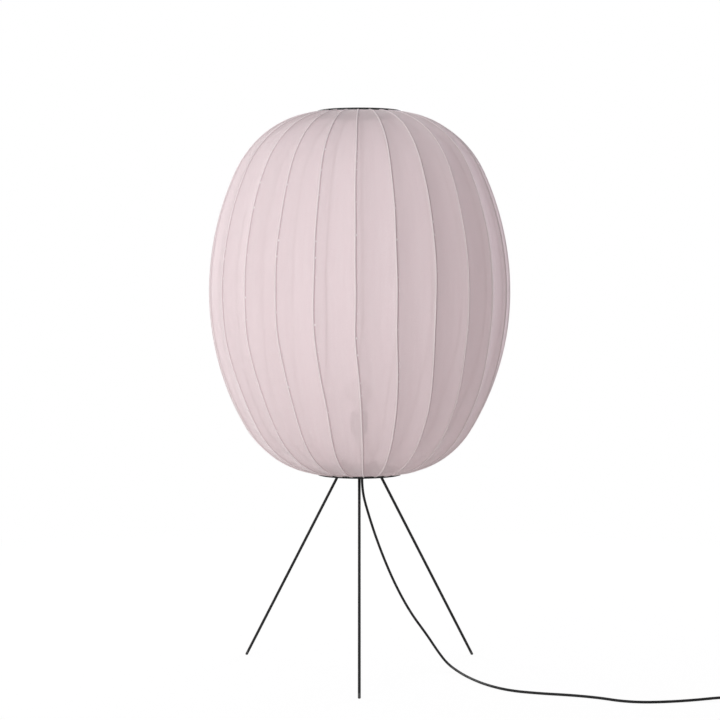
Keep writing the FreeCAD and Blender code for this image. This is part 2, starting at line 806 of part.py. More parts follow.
# Coil of the put-away lead
coil_floor = tie_thickness + tie_clearance
coil_low = coil_floor + cord_diameter / 2
coil_high = coil_low + coil_pitch
coil_start_x = switch_end + sleeve_length + coil_lead_in
coil_centre = vec(coil_start_x, switch_y + coil_radius, 0)
coil_turns = coil_half_turns / 2
coil_inner = coil_radius - coil_turns * coil_pitch
coil_quarters = round(4 * (2 * coil_turns + coil_climb_turns))
coil_end_y = coil_centre.y + coil_radius
plug_axis = plug_thickness / 2
plug_mouth_x = coil_start_x - coil_lead_out - cord_diameter
plug_rear_x = plug_mouth_x - plug_sleeve_length
plug_front_x = plug_rear_x - plug_length


def coil_point(turns):
    # in on the floor, up a layer in the half turn where the spiral reverses, out on top
    climbed = min(max((turns - coil_turns) / coil_climb_turns, 0.0), 1.0)
    if climbed <= 1 / 2:
        radius = coil_radius - coil_pitch * turns
    else:
        radius = coil_inner + coil_pitch * (turns - coil_turns - coil_climb_turns)
    height = coil_low + (coil_high - coil_low) * (1 - math.cos(math.pi * climbed)) / 2
    return coil_centre + polar(radius, -90.0 + 360.0 * turns, height)


def biarc(start, start_way, end, end_way):
    # two arcs that leave start and reach end along the given unit directions
    chord = end - start
    both = start_way + end_way
    square = 2 * (1 - start_way.dot(end_way))
    half_linear = chord.dot(both)
    if square < 1e-12:
        reach = chord.dot(chord) / (2 * half_linear)
    else:
        reach = (math.sqrt(half_linear ** 2 + square * chord.dot(chord)) - half_linear) / square
    first_corner = start + start_way * reach
    last_corner = end - end_way * reach
    join = (first_corner + last_corner) / 2
    return [arc_at_corner(start, first_corner, join), arc_at_corner(join, last_corner, end)]


def arc_at_corner(first, corner, last):
    inside = (first + last) / 2 - corner
    half_turn = (corner - first).getAngle(last - corner) / 2
    reach = (corner - first).Length
    radius = reach / math.tan(half_turn)
    middle = corner + unit(inside) * (radius / math.cos(half_turn) - radius)
    return Part.Arc(first, middle, last).toShape()


def make_cord_coil():
    nudge = 1e-4
    stations = [quarter / 4 for quarter in range(coil_quarters + 1)]
    places = [coil_point(turns) for turns in stations]
    ways = [unit(coil_point(turns + nudge) - coil_point(turns - nudge)) for turns in stations]
    ways[0] = axis_x
    ways[-1] = -axis_x
    inlet = vec(switch_end - cord_inside_switch, switch_y, switch_cord_height)
    sleeve_end = vec(switch_end + sleeve_length + cord_diameter, switch_y, switch_cord_height)
    edges = [Part.LineSegment(inlet, sleeve_end).toShape()]
    edges += biarc(sleeve_end, axis_x, places[0], ways[0])
    for index in range(len(places) - 1):
        edges += biarc(places[index], ways[index], places[index + 1], ways[index + 1])
    tail = vec(coil_start_x - coil_lead_out, coil_end_y, plug_axis)
    edges += biarc(places[-1], ways[-1], tail, -axis_x)
    edges.append(Part.LineSegment(tail, vec(plug_rear_x, coil_end_y, plug_axis)).toShape())
    print("cord_coil least gap to itself %.2f" % least_gap(edges))
    return tube(edges, inlet, axis_x, "cord_coil")


def least_gap(edges):
    # nearest approach of the tube to itself, on points along its line more than half an inner turn apart
    points = []
    travelled = []
    distance = 0.0
    for edge in edges:
        count = max(2, int(edge.Length / cord_diameter * 2))
        for place in edge.discretize(count)[1:]:
            if points:
                distance += (place - points[-1]).Length
            points.append(place)
            travelled.append(distance)
    apart = math.pi * coil_inner
    least = coil_radius
    for index, place in enumerate(points):
        for other in range(index + 1, len(points)):
            if travelled[other] - travelled[index] > apart:
                least = min(least, (points[other] - place).Length - cord_diameter)
    return least


def make_tie():
    # a flat band round the turns, on the side of the coil where no turn climbs
    climbs_near_switch = coil_half_turns % 2 == 1
    started = coil_pitch / 4 if climbs_near_switch else 3 * coil_pitch / 4
    inner_turn = coil_inner + coil_pitch / 4 - cord_diameter / 2 - tie_side_clearance
    outer_turn = coil_radius - started + cord_diameter / 2 + tie_side_clearance
    near = coil_centre.x + inner_turn if climbs_near_switch else coil_centre.x - outer_turn
    top = coil_high + cord_diameter / 2 + tie_clearance
    low = vec(near, coil_centre.y - tie_width / 2, tie_thickness)
    high = vec(near + outer_turn - inner_turn, coil_centre.y + tie_width / 2, top)
    wall = vec(tie_thickness, 0, tie_thickness)
    band = tie_block(low - wall, high + wall, tie_corner)
    return band.cut(tie_block(low, high, tie_corner - tie_thickness))


def tie_block(low, high, corner):
    body = block(low, high)
    along_y = [edge for edge in body.Edges if abs(edge.tangentAt(0).y) > 1 / 2]
    return body.makeFillet(corner, along_y)


# Plug
def make_plug_body():
    half_front = plug_width / 2
    half_rear = plug_rear_width / 2
    shoulder = plug_rear_x - plug_taper_length
    outline = [(plug_rear_x, -half_rear), (plug_rear_x, half_rear), (shoulder, half_front),
               (plug_front_x, half_front), (plug_front_x, -half_front), (shoulder, -half_front)]
    points = [vec(x, coil_end_y + y, 0) for x, y in outline]
    body = Part.Face(Part.makePolygon(points + points[:1])).extrude(up * plug_thickness)
    sides = [edge for edge in body.Edges
             if plug_front_x + fit_clearance < edge.CenterOfMass.x < plug_rear_x - fit_clearance]
    body = body.makeFillet(plug_round, sides)
    for pin in plug_pin_rods(fit_clearance):
        body = body.cut(pin)
    return body


def plug_pin_rods(clearance=0.0):
    rods = []
    for side in (-1, 1):
        tip = vec(plug_front_x - pin_length, coil_end_y + side * pin_spacing / 2, plug_axis)
        root = vec(plug_front_x + pin_root + clearance, tip.y, tip.z)
        rods.append(rod(tip, root, pin_diameter / 2 + clearance))
    return rods


def make_plug_pins():
    pins = []
    for pin in plug_pin_rods():
        tip_x = plug_front_x - pin_length
        tip = [edge for edge in pin.Edges if abs(edge.CenterOfMass.x - tip_x) < fit_clearance]
        pins.append(pin.makeChamfer(pin_chamfer, tip[:1]))
    return Part.makeCompound(pins)


def make_plug_sleeve():
    mouth = vec(plug_mouth_x, coil_end_y, plug_axis)
    sizes = (plug_sleeve_length, plug_sleeve_tip_radius, plug_sleeve_foot_radius)
    return make_sleeve(mouth, -axis_x, *sizes, 0, 0)


def main():
    os.makedirs("parts", exist_ok=True)
    export(make_base_plate(), "base_plate")
    export(make_rib_ring(lower_half, base_top, base_height), "lower_rib_ring")
    export(ring_screw(base_height, 1), "lower_ring_screws")
    export(make_top_plate(), "top_plate")
    export(make_rib_ring(upper_half, top_plate_bottom, top_plate_top), "upper_rib_ring")
    export(ring_screw(top_plate_top, -1), "upper_ring_screws")
    export(make_ribs(), "shade_ribs")
    export(make_cover(), "shade_cover")
    for name, leg in legs.items():
        export(leg.rod(), "leg_" + name)
        export(leg.boss(), "leg_boss_" + name)
        export(leg.tip(), "foot_tip_" + name)
    export(Part.makeCompound([leg.set_screw() for leg in legs.values()]), "leg_set_screws")
    export(make_bracket(), "holder_bracket")
    export(make_bracket_screws(), "bracket_screws")
    export(make_nipple(), "holder_nipple")
    export(make_nut(), "nipple_nut")
    export(make_holder_cap(), "holder_cap")
    export(make_holder_body(), "holder_body")
    export(make_carrier(), "contact_carrier")
    export(make_screw_shell(), "screw_shell")
    export(make_centre_contact(), "centre_contact")
    export(make_bulb_contact(), "bulb_contact")
    export(make_bulb_base(), "bulb_base")
    export(make_bulb_housing(), "bulb_housing")
    export(make_bulb_globe(), "bulb_globe")
    export(make_grommet(), "cord_grommet")
    export(make_inner_lead(), "inner_lead")
    export(make_cord_drop(), "cord_drop")
    export(make_switch_base(), "switch_base")
    export(make_switch_cover(), "switch_cover")
    export(make_switch_button(), "switch_button")
    export(make_switch_module(), "switch_module")
    export(make_switch_screws(), "switch_screws")
    export(make_switch_sleeves(), "switch_sleeves")
    export(make_cord_coil(), "cord_coil")
    export(make_tie(), "cord_tie")
    export(make_plug_body(), "plug_body")
    export(make_plug_pins(), "plug_pins")
    export(make_plug_sleeve(), "plug_sleeve")


main()
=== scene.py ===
import math

import bpy
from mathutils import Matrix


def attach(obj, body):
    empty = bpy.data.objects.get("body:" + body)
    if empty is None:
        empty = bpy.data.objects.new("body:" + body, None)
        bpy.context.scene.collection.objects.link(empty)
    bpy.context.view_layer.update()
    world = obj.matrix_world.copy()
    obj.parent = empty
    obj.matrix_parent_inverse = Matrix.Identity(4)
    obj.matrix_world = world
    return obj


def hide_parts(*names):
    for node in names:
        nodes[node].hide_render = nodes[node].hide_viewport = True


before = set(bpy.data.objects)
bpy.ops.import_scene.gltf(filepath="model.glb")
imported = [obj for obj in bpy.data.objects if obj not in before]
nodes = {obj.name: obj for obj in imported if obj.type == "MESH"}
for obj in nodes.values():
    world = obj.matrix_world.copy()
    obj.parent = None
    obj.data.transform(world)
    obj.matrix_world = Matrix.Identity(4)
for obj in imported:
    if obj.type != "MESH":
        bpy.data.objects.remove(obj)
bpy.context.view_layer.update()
bpy.ops.object.select_all(action="DESELECT")  # so that the rods are converted alone
print("frame loaded with", len(nodes), "nodes")

# camera: level, a little above the middle of the shade
view = {
    "distance": 4.1,
    "height": 0.857,
    "focalPixels": 1899.0,
    "picturePixels": 720.0,
    "sensor": 36.0,
    "lampColumn": 359.3,
    "horizonRow": 271.3,
}


def placeCamera(spec):
    level = (math.pi / 2, 0, 0)
    bpy.ops.object.camera_add(location=(0, -spec["distance"], spec["height"]), rotation=level)
    camera = bpy.context.object
    camera.name = "pictureCamera"
    camera.data.sensor_width = spec["sensor"]
    camera.data.lens = spec["focalPixels"] * spec["sensor"] / spec["picturePixels"]
    middle = spec["picturePixels"] / 2
    camera.data.shift_x = (middle - spec["lampColumn"]) / spec["picturePixels"]
    camera.data.shift_y = (spec["horizonRow"] - middle) / spec["picturePixels"]
    bpy.context.scene.camera = camera


placeCamera(view)
print("camera placed")


# node helpers: a socket given as a value is linked, anything else is set
def put(tree, kind, inputs=None, **settings):
    node = tree.nodes.new(kind)
    for key, value in settings.items():
        setattr(node, key, value)
    for key, value in (inputs or {}).items():
        if isinstance(value, bpy.types.NodeSocket):
            tree.links.new(value, node.inputs[key])
        else:
            node.inputs[key].default_value = value
    return node


def calc(tree, operation, *values):
    return put(tree, "ShaderNodeMath", dict(enumerate(values)), operation=operation).outputs[0]


def mixColour(tree, share, first, second, blend="MIX"):
    colours = [c if isinstance(c, bpy.types.NodeSocket) else (*c, 1) for c in (first, second)]
    inputs = {0: share, 6: colours[0], 7: colours[1]}  # the node's colour sockets are 6 and 7, and output 2
    return put(tree, "ShaderNodeMix", inputs, data_type="RGBA", blend_type=blend).outputs[2]


def spread(tree, value, low, high, start=0.0, end=1.0):
    inputs = {"Value": value, "From Min": start, "From Max": end, "To Min": low, "To Max": high}
    return put(tree, "ShaderNodeMapRange", inputs).outputs[0]


def noise(tree, place, scale, detail, roughness=0.5):
    inputs = {"Vector": place, "Scale": scale, "Detail": detail, "Roughness": roughness}
    return put(tree, "ShaderNodeTexNoise", inputs).outputs["Fac"]


def flatPlace(tree, x, y):
    return put(tree, "ShaderNodeCombineXYZ", {0: x, 1: y}).outputs[0]


def newMaterial(name):
    material = bpy.data.materials.new(name)
    material.use_nodes = True
    material.node_tree.nodes.clear()
    return material, material.node_tree


def newGroup(name, inputs, outputs):
    group = bpy.data.node_groups.new(name, "ShaderNodeTree")
    for label, kind in inputs:
        group.interface.new_socket(name=label, in_out="INPUT", socket_type=kind)
    for label in outputs:
        group.interface.new_socket(name=label, in_out="OUTPUT", socket_type="NodeSocketFloat")
    return group, group.nodes.new("NodeGroupInput"), group.nodes.new("NodeGroupOutput")


def useGroup(tree, group, inputs):
    return put(tree, "ShaderNodeGroup", inputs, node_tree=group).outputs


# fine grain of a moulded or sprayed surface, and the broad patches that handling leaves
grainLook = {
    "detail": 2.0,
    "dotHeight": 0.4,
    "patchScale": 38.0,
    "patchDetail": 4.0,
    "patchRoughness": 0.6,
    "patchRange": (0.32, 0.68),
}


def makeGrain(spec):
    group, given, made = newGroup("surfaceGrain", [("Place", "NodeSocketVector"), ("Size", "NodeSocketFloat")],
                                  ["Height", "Patches"])
    place = given.outputs["Place"]
    fine = calc(group, "DIVIDE", 1.0, given.outputs["Size"])
    close = noise(group, place, fine, spec["detail"])
    dots = put(group, "ShaderNodeTexVoronoi", {"Vector": place, "Scale": fine}).outputs["Distance"]
    height = calc(group, "MULTIPLY_ADD", dots, spec["dotHeight"], close)
    wide = noise(group, place, spec["patchScale"], spec["patchDetail"], spec["patchRoughness"])
    group.links.new(height, made.inputs["Height"])
    group.links.new(spread(group, wide, 0.0, 1.0, *spec["patchRange"]), made.inputs["Patches"])
    return group


# drawn or rolled metal: fine lines along one direction
def makeDrawLines():
    group, given, made = newGroup("drawLines", [("Place", "NodeSocketVector"), ("Stretch", "NodeSocketVector")],
                                  ["Height"])
    along = put(group, "ShaderNodeVectorMath", {0: given.outputs["Place"], 1: given.outputs["Stretch"]},
                operation="MULTIPLY")
    lines = noise(group, along.outputs[0], scale=1.0, detail=3.0)
    group.links.new(lines, made.inputs["Height"])
    return group


# a rolled thread round an upright axis
def makeThread():
    group, given, made = newGroup("screwThread", [("Place", "NodeSocketVector"), ("Pitch", "NodeSocketFloat")],
                                  ["Height"])
    at = put(group, "ShaderNodeSeparateXYZ", {0: given.outputs["Place"]})
    turn = calc(group, "ARCTAN2", at.outputs["Y"], at.outputs["X"])
    climb = calc(group, "DIVIDE", calc(group, "MULTIPLY", at.outputs["Z"], 2 * math.pi), given.outputs["Pitch"])
    ridge = calc(group, "SINE", calc(group, "SUBTRACT", climb, turn))
    group.links.new(spread(group, ridge, 0.0, 1.0, -1.0, 1.0), made.inputs["Height"])
    return group


surfaceGrain = makeGrain(grainLook)
drawLines = makeDrawLines()
screwThread = makeThread()

# how lines and threads add to the grain, and how the whole height adds to the roughness
finishMix = {"lineHeight": 1.6, "threadHeight": 3.0, "heightToRough": 0.25, "roughRange": (0.1, 1.1)}


# one finish for CAD nodes; colours are linear, sizes in metres
def finish(name, spec, nodeNames):
    material, tree = newMaterial(name)
    place = put(tree, "ShaderNodeTexCoord").outputs["Object"]
    grain = useGroup(tree, surfaceGrain, {"Place": place, "Size": spec["grain"]})
    patches, height = grain["Patches"], grain["Height"]
    if "lines" in spec:
        lines = useGroup(tree, drawLines, {"Place": place, "Stretch": spec["lines"]})
        height = calc(tree, "MULTIPLY_ADD", lines["Height"], finishMix["lineHeight"], height)
    if "thread" in spec:
        thread = useGroup(tree, screwThread, {"Place": place, "Pitch": spec["thread"]})
        height = calc(tree, "MULTIPLY_ADD", thread["Height"], finishMix["threadHeight"], height)
    bump = put(tree, "ShaderNodeBump", {"Height": height, "Strength": spec["bump"], "Distance": spec["depth"]})
    worn = calc(tree, "MULTIPLY_ADD", height, finishMix["heightToRough"], patches)
    shader = put(tree, "ShaderNodeBsdfPrincipled", {
        "Base Color": mixColour(tree, patches, spec["colour"], spec["other"]),
        "Roughness": spread(tree, worn, *spec["roughness"], *finishMix["roughRange"]),
        "Normal": bump.outputs["Normal"], "Metallic": spec.get("metallic", 0.0)})
    for socket, value in spec.get("sockets", {}).items():
        shader.inputs[socket].default_value = value
    put(tree, "ShaderNodeOutputMaterial", {"Surface": shader.outputs[0]})
    for nodeName in nodeNames:
        nodes[nodeName].data.materials.clear()
        nodes[nodeName].data.materials.append(material)
    return material


# curve helpers for the lead and the rods
def newCurve(name, bevelDepth, bevelSteps):
    curve = bpy.data.curves.new(name, "CURVE")
    curve.dimensions = "3D"
    curve.bevel_depth = bevelDepth
    curve.bevel_resolution = bevelSteps
    curve.use_fill_caps = True
    return curve


def addSpline(curve, kind, places):
    spline = curve.splines.new(kind)
    spline.points.add(len(places) - 1)
    for point, place in zip(spline.points, places):
        point.co = (*place, 1)
    return spline


def addPiece(name, data):
    piece = bpy.data.objects.new(name, data)
    bpy.context.scene.collection.objects.link(piece)
    return piece


# the lead: hangs from the grommet, crosses the floor, runs through the foot switch and is wound up
lead = {
    "diameter": 0.0055,
    "length": 2.49,
    "exit": (0.006, 0, 0.410),
    "route": [
        (0.006, 0, 0.410), (0.006, 0, 0.382), (0.0197, 0.006, 0.332), (0.0365, 0.012, 0.2795),
        (0.0575, 0.017, 0.224), (0.082, 0.020, 0.169), (0.112, 0.021, 0.115), (0.147, 0.020, 0.068),
        (0.170, 0.012, 0.034), (0.190, -0.013, 0.012), (0.213, -0.055, 0.00275), (0.232, -0.113, 0.00275),
        (0.262, -0.178, 0.00275), (0.304, -0.230, 0.00275), (0.361, -0.256, 0.00275), (0.428, -0.273, 0.00275),
        (0.482, -0.297, 0.00275), (0.520, -0.326, 0.00275), (0.565, -0.337, 0.00275), (0.620, -0.330, 0.00275),
        (0.672, -0.315, 0.00275), (0.728, -0.308, 0.0067), (0.784, -0.308, 0.0067),
        (0.868, -0.308, 0.0067), (0.879, -0.308, 0.0067), (0.889, -0.308, 0.00395),
    ],
    "coilMiddle": (0.898, -0.2675),
    "coilRadius": 0.0405,
    "coilInner": 0.025,
    "coilPitch": 0.0062,
    "coilTurns": 5.5,
    "climb": (2.5, 3.0),  # turns between which the coil goes up to its second layer
    "lowTurns": 0.00395,
    "highTurns": 0.01015,
    "pointsPerTurn": 14,
    "plugRun": [(0.886, -0.227, 0.01015), (0.874, -0.227, 0.007), (0.862, -0.227, 0.007),
                (0.8315, -0.227, 0.007)],
    "splineOrder": 3,
    "curveSteps": 8,
    "bevelSteps": 4,
    "onIt": ["switch_base", "switch_cover", "switch_button", "switch_module", "switch_screws", "switch_sleeves",
             "cord_tie", "plug_body", "plug_pins", "plug_sleeve"],
}


def coilPoint(spec, turns):
    start, end = spec["climb"]
    rise = min(max((turns - start) / (end - start), 0), 1)
    height = spec["lowTurns"] + (spec["highTurns"] - spec["lowTurns"]) * (1 - math.cos(math.pi * rise)) / 2
    if turns < (start + end) / 2:
        radius = spec["coilRadius"] - spec["coilPitch"] * turns
    else:
        radius = spec["coilInner"] + spec["coilPitch"] * (turns - end)
    radius /= math.cos(math.pi / spec["pointsPerTurn"])  # control points stand outside the turn
    angle = 2 * math.pi * turns - math.pi / 2
    x, y = spec["coilMiddle"]
    return (x + radius * math.cos(angle), y + radius * math.sin(angle), height)


def layLead(spec):
    count = round(spec["coilTurns"] * spec["pointsPerTurn"])
    coil = [coilPoint(spec, (step + 0.5) / spec["pointsPerTurn"]) for step in range(count)]
    curve = newCurve("lead", 1, spec["bevelSteps"])
    curve.resolution_u = spec["curveSteps"]
    spline = addSpline(curve, "NURBS", spec["route"] + coil + spec["plugRun"])
    for point in spline.points:
        point.radius = spec["diameter"] / 2  # of a bevel one metre deep, so that the curve's box stays true
    spline.order_u = spec["splineOrder"]
    spline.use_endpoint_u = True
    flex = addPiece("lead", curve)
    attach(flex, "lamp")
    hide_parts("cord_drop", "cord_coil")
    return flex


leadSheath = {"colour": (0.010, 0.010, 0.0105), "other": (0.013, 0.013, 0.0135), "roughness": (0.45, 0.6),
              "grain": 0.0009, "bump": 0.2, "depth": 0.0002, "sockets": {"Specular IOR Level": 0.14}}
flexObject = layLead(lead)
flexObject.data.materials.append(finish("leadSheath", leadSheath, ["inner_lead"]))
print("lead laid")

# outline of a bowed rib, both halves from the widest place to the rib rings
shade = {
    "ribs": 24,
    "firstRib": -91.5,
    "widest": 0.813,
    "bowRadius": 0.3231,
    "collarRadius": 0.091,
    "upper": {"collar": 1.19735, "shoulder": 0.21701, "slope": 5.7, "side": 1},
    "lower": {"collar": 0.42475, "shoulder": 0.20402, "slope": 6.2, "side": -1},
    "arcSteps": 200,
    "swayFrom": 0.745,  # below this height the ribs lean sideways
    "swayTo": 0.565,
    "sway": 0.0115,
    "wander": 0.0007,
    "wanderWaves": [(1.0, 17.0, 2.4), (0.6, 41.0, 5.1)],  # share, pace along the height, shift from rib to rib
    "wanderEnds": (0.43, 1.19),
    "wanderFade": 0.06,
}


def halfOutline(spec, half, count):
    rise = abs(half["collar"] - spec["widest"])
    slope = math.radians(half["slope"])
    shoulder = half["shoulder"]
    centre = spec["collarRadius"] - shoulder * math.sin(slope)
    lift = rise - shoulder * math.cos(slope)
    short = centre - spec["bowRadius"]
    bow = (shoulder ** 2 - short ** 2 - lift ** 2) / (2 * (short + shoulder))
    bowCentre = spec["bowRadius"] - bow
    join = math.atan2(lift, centre - bowCentre)
    last = math.pi / 2 - slope
    places = []
    for step in range(count + 1):
        angle = join * step / count
        places.append((bowCentre + bow * math.cos(angle), bow * math.sin(angle), angle))
    for step in range(1, count + 1):
        angle = join + (last - join) * step / count
        places.append((centre + shoulder * math.cos(angle), lift + shoulder * math.sin(angle), angle))
    side = half["side"]
    return [(r, spec["widest"] + side * z, math.cos(a), side * math.sin(a)) for r, z, a in places]


def ribOutline(spec, rows):
    # radius, height, outward direction and length so far, at equal steps from the upper ring to the lower one
    upper, lower = [halfOutline(spec, spec[half], spec["arcSteps"]) for half in ("upper", "lower")]
    fine = upper[::-1] + lower[1:]
    along = [0.0]
    for a, b in zip(fine, fine[1:]):
        along.append(along[-1] + math.hypot(b[0] - a[0], b[1] - a[1]))
    outline, at = [], 0
    for row in range(rows + 1):
        wanted = along[-1] * row / rows
        while at < len(fine) - 2 and along[at + 1] < wanted:
            at += 1
        share = (wanted - along[at]) / (along[at + 1] - along[at])
        outline.append([a + (b - a) * share for a, b in zip(fine[at], fine[at + 1])] + [wanted])
    return outline


def smooth(value):
    value = min(max(value, 0), 1)
    return value * value * (3 - 2 * value)


def ribTurn(spec, rib, radius, height):
    # how far a rib stands from its even place, as an angle
    lean = spec["sway"] * smooth((spec["swayFrom"] - height) / (spec["swayFrom"] - spec["swayTo"]))
    stray = sum(share * math.sin(height * pace + rib * shift) for share, pace, shift in spec["wanderWaves"])
    low, high = spec["wanderEnds"]
    ends = smooth((height - low) / spec["wanderFade"]) * smooth((high - height) / spec["wanderFade"])
    return (lean + spec["wander"] * stray * ends) / radius


def ribAngle(spec, rib):
    return math.radians(spec["firstRib"] + 360 / spec["ribs"] * rib)


# the ribs: springy pale rods, their ends in the two rings
rods = {"diameter": 0.003, "rows": 60, "intoRing": 0.010, "bevelSteps": 3}


def rodTip(spec, shape, end, half):
    angle = math.atan2(end[1], end[0])
    deep = shape["collarRadius"] - spec["intoRing"]
    height = end[2] + half["side"] * spec["intoRing"] * math.tan(math.radians(half["slope"]))
    return (deep * math.cos(angle), deep * math.sin(angle), height)


def makeRods(spec, shape):
    outline = ribOutline(shape, spec["rows"])
    curve = newCurve("rib_rods", spec["diameter"] / 2, spec["bevelSteps"])
    for rib in range(shape["ribs"]):
        places = []
        for radius, height, _, _, _ in outline:
            angle = ribAngle(shape, rib) + ribTurn(shape, rib, radius, height)
            places.append((radius * math.cos(angle), radius * math.sin(angle), height))
        top = rodTip(spec, shape, places[0], shape["upper"])
        foot = rodTip(spec, shape, places[-1], shape["lower"])
        addSpline(curve, "POLY", [top] + places + [foot]).use_smooth = True
    bundle = addPiece("rib_rods", curve)
    bpy.context.view_layer.objects.active = bundle
    bundle.select_set(True)
    bpy.ops.object.convert(target="MESH")
    bundle.select_set(False)
    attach(bundle, "lamp")
    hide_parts("shade_ribs")
    return bundle


rodFinish = {"colour": (0.60, 0.58, 0.54), "other": (0.66, 0.64, 0.61), "roughness": (0.38, 0.55), "grain": 0.0011,
             "bump": 0.3, "depth": 0.0002, "lines": (900, 900, 12)}
rodObject = makeRods(rods, shade)
rodObject.data.materials.append(finish("rodFinish", rodFinish, []))
print("rib rods bowed")

# the knitted cover: one tube, dipped between the ribs, a raised channel over each rib
knit = {
    "rows": 104,
    "panelShares": [0, 0.025, 0.07, 0.16, 0.3, 0.5, 0.7, 0.84, 0.93, 0.975],
    "channelColumns": 8,
    "thickness": 0.0008,
    "channelWidth": 0.0046,
    "channelLift": 0.0007,
    "proudEnds": 0.24,  # length at each end over which the channels stand prouder
    "proudLift": 0.0008,
    "panelOffset": 0.0017,
    "groove": 0.0004,
    "grooveShare": 0.07,  # share of a panel over which the groove beside a channel runs out
    "dip": 0.0036,
    "dipPower": 0.6,  # how fast the dip shrinks with the radius
    "dipAtEnds": 0.15,
    "calmEnds": 0.05,  # length at each end over which dip and groove die away
    "hem": [(-0.0012, -0.0052), (-0.0014, -0.0022), (-0.0011, -0.0006), (-0.0005, 0.0001)],
    "hemStep": 0.0008,
    "flat": (2.05, 0.985),
    "area": 1.57,
}


def panelPlaces(spec):
    # shares of a panel from rib to rib; first and last stretch are the halves of two channels
    half = spec["channelColumns"] // 2
    places = [("channel", 0.5 + 0.5 * step / half) for step in range(half)]
    places += [("panel", share) for share in spec["panelShares"]]
    places += [("channel", 0.5 * step / half) for step in range(half)]
    return places


def coverRow(spec, shape, station, fromEnd):
    # one round of the tube: place, share of the round in panels, and how much it is channel and seam line painted
    # darker as shade
    radius, height, outR, outZ, _ = station
    halfStep = math.pi / shape["ribs"]
    halfChannel = spec["channelWidth"] / 2 / radius
    free = smooth(fromEnd / spec["calmEnds"])
    slack = spec["dip"] * (radius / shape["bowRadius"]) ** spec["dipPower"]
    slack *= spec["dipAtEnds"] + (1 - spec["dipAtEnds"]) * free
    lift = spec["channelLift"] + spec["proudLift"] * (1 - smooth(fromEnd / spec["proudEnds"]))
    groove = spec["groove"] * free
    row = []
    for rib in range(shape["ribs"]):
        start = ribAngle(shape, rib) + ribTurn(shape, rib, radius, height)
        end = ribAngle(shape, rib + 1) + ribTurn(shape, (rib + 1) % shape["ribs"], radius, height)
        for kind, share in panelPlaces(spec):
            offset, channel, seamShade = spec["panelOffset"], 0.0, 0.0
            across = 2 * share - 1
            if kind == "channel":
                channel = math.cos(math.pi / 2 * across) ** 2
                offset += (lift + groove) * channel - groove
                angle = (start if share >= 0.5 else end) + across * halfChannel
            else:
                angle = start + halfChannel + (end - start - 2 * halfChannel) * share
                # the first column after each rib is the stitched seam, painted darker as shade on that side of the
                # rib
                seamShade = 1.0 if share == 0 else 0.0
                offset -= slack * (1 - across ** 2)
                offset -= groove * max(1 - min(share, 1 - share) / spec["grooveShare"], 0)
            side = min(max(angle - (start + end) / 2, -halfStep), halfStep)
            flatR = radius * math.cos(halfStep) / math.cos(side) + offset * outR
            place = (flatR * math.cos(angle), flatR * math.sin(angle), height + offset * outZ)
            row.append((place, rib + (angle - start) / (end - start), channel, seamShade))
    return row


def turnedIn(row, inwards, down, side):
    moved = []
    for (x, y, z), share, channel, seamShade in row:
        radius = math.hypot(x, y)
        scale = (radius + inwards) / radius
        moved.append(((x * scale, y * scale, z + side * down), share, channel, seamShade))
    return moved


def coverRows(spec, shape):
    # all rounds from the upper hem to the lower one, and how far along the ribs each of them lies
    outline = ribOutline(shape, spec["rows"])
    lengths = [station[4] for station in outline]
    reach = lengths[-1]
    rows = [coverRow(spec, shape, station, min(station[4], reach - station[4])) for station in outline]
    top = [turnedIn(rows[0], *hem, 1) for hem in spec["hem"]]
    foot = [turnedIn(rows[-1], *hem, -1) for hem in spec["hem"]][::-1]
    edge = [abs(down) + spec["hemStep"] for _, down in spec["hem"]]
    return top + rows + foot, [-x for x in edge] + lengths + [reach + x for x in edge[::-1]]


def makeCover(spec, shape):
    rows, lengths = coverRows(spec, shape)
    corners = [corner for row in rows for corner in row]
    width = len(rows[0])
    faces, mapped = [], []
    for r in range(len(rows) - 1):
        for c in range(width):
            d = (c + 1) % width
            faces.append((r * width + c, (r + 1) * width + c, (r + 1) * width + d, r * width + d))
            left = rows[r][c][1]
            right = rows[r][d][1] + (shape["ribs"] if d == 0 else 0)
            mapped += [left, lengths[r], left, lengths[r + 1], right, lengths[r + 1], right, lengths[r]]
    mesh = bpy.data.meshes.new("knit_cover")
    mesh.from_pydata([corner[0] for corner in corners], [], faces)
    mesh.uv_layers.new(name="knitMap").data.foreach_set("uv", mapped)
    for column, name in ((2, "channel"), (3, "seamShade")):
        values = mesh.attributes.new(name, "FLOAT", "POINT")
        values.data.foreach_set("value", [corner[column] for corner in corners])
    mesh.polygons.foreach_set("use_smooth", [True] * len(faces))
    mesh.update()
    cover = addPiece("knit_cover", mesh)
    bpy.context.view_layer.objects.active = cover
    wall = cover.modifiers.new("wall", "SOLIDIFY")
    wall.thickness = spec["thickness"]
    wall.offset = -1
    bpy.ops.object.modifier_apply(modifier=wall.name)
    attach(cover, "lamp")
    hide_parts("shade_cover")
    return cover


